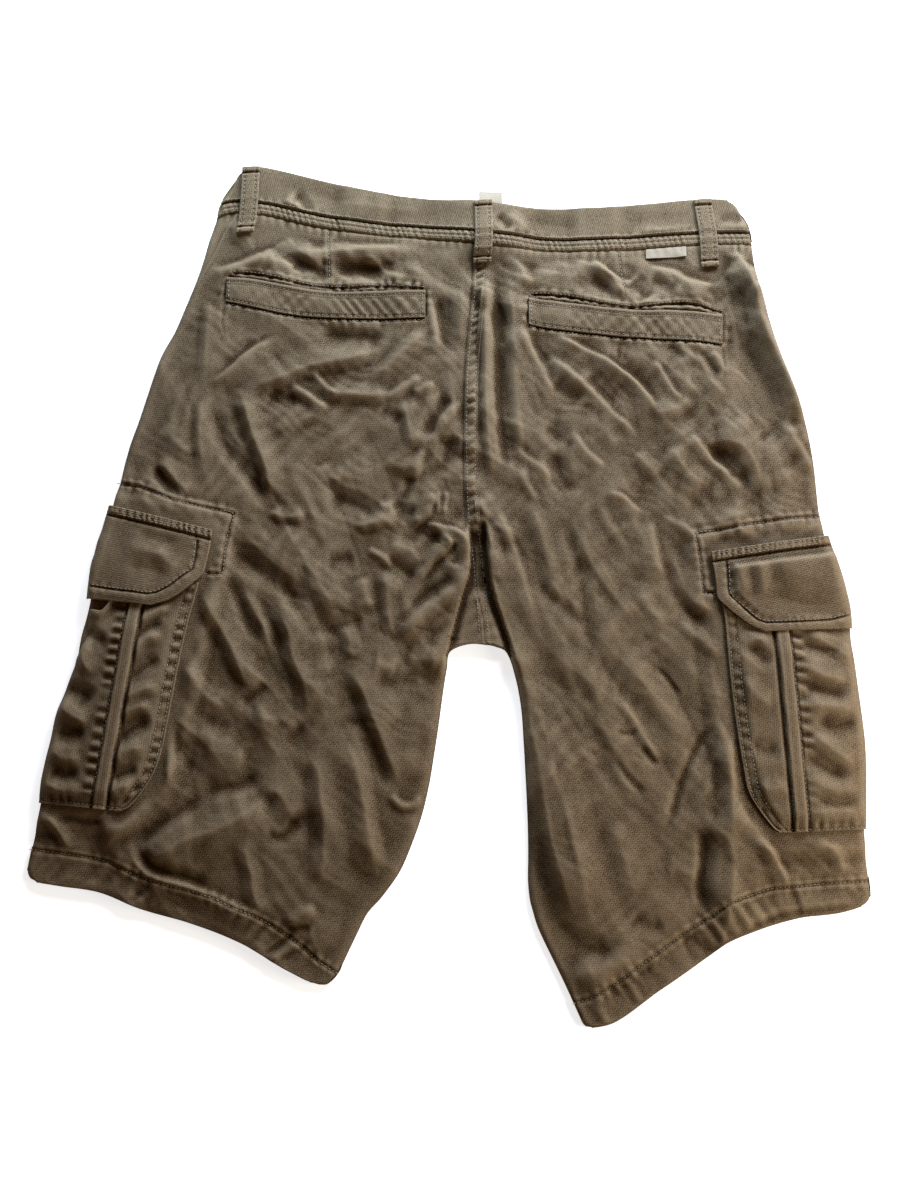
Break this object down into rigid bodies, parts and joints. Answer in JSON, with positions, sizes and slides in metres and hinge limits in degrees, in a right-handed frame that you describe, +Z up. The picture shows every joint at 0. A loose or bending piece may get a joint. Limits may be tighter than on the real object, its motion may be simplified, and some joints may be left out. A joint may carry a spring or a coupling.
{
  "type": "cargo shorts laid flat",
  "caption": "Cargo shorts laid flat with the back up: two legs, waistband with belt loops, welt back pockets and pleated cargo pockets with flaps.",
  "frame": {"origin": "middle of the garment's bounding box, on the surface that it lies on", "axes": "+X to the right of the laid-out garment seen from above, +Y up to the waistband, +Z up off the surface; the back panels are on top"},
  "size_m": [0.6546, 0.6943, 0.0156],
  "materials": {
    "back_twill": "dull olive brown cotton twill",
    "front_twill": "dull olive brown cotton twill",
    "band_twill": "dull olive brown cotton twill, doubled",
    "pocket_twill": "dull olive brown cotton twill",
    "flap_twill": "dull olive brown cotton twill, doubled",
    "welt_twill": "dull olive brown cotton twill, folded",
    "loop_twill": "dull olive brown cotton twill, folded",
    "white_label": "plain woven white tape",
    "horn_button": "dark brown, slightly glossy"
  },
  "bodies": {
    "root": {"back_left": "back_twill", "back_right": "back_twill", "front_left": "front_twill", "front_right": "front_twill", "waistband": "band_twill", "belt_loop_back_left": "loop_twill", "belt_loop_back_centre": "loop_twill", "belt_loop_back_right": "loop_twill", "belt_loop_front_left": "loop_twill", "belt_loop_front_right": "loop_twill", "welt_left": "welt_twill", "welt_right": "welt_twill", "cargo_pocket_left": "pocket_twill", "cargo_pocket_right": "pocket_twill", "cargo_flap_left": "flap_twill", "cargo_flap_right": "flap_twill", "fly_placket": "front_twill", "waist_button": "horn_button", "flag_label": "white_label", "size_tag": "white_label"}
  },
  "joints": []
}
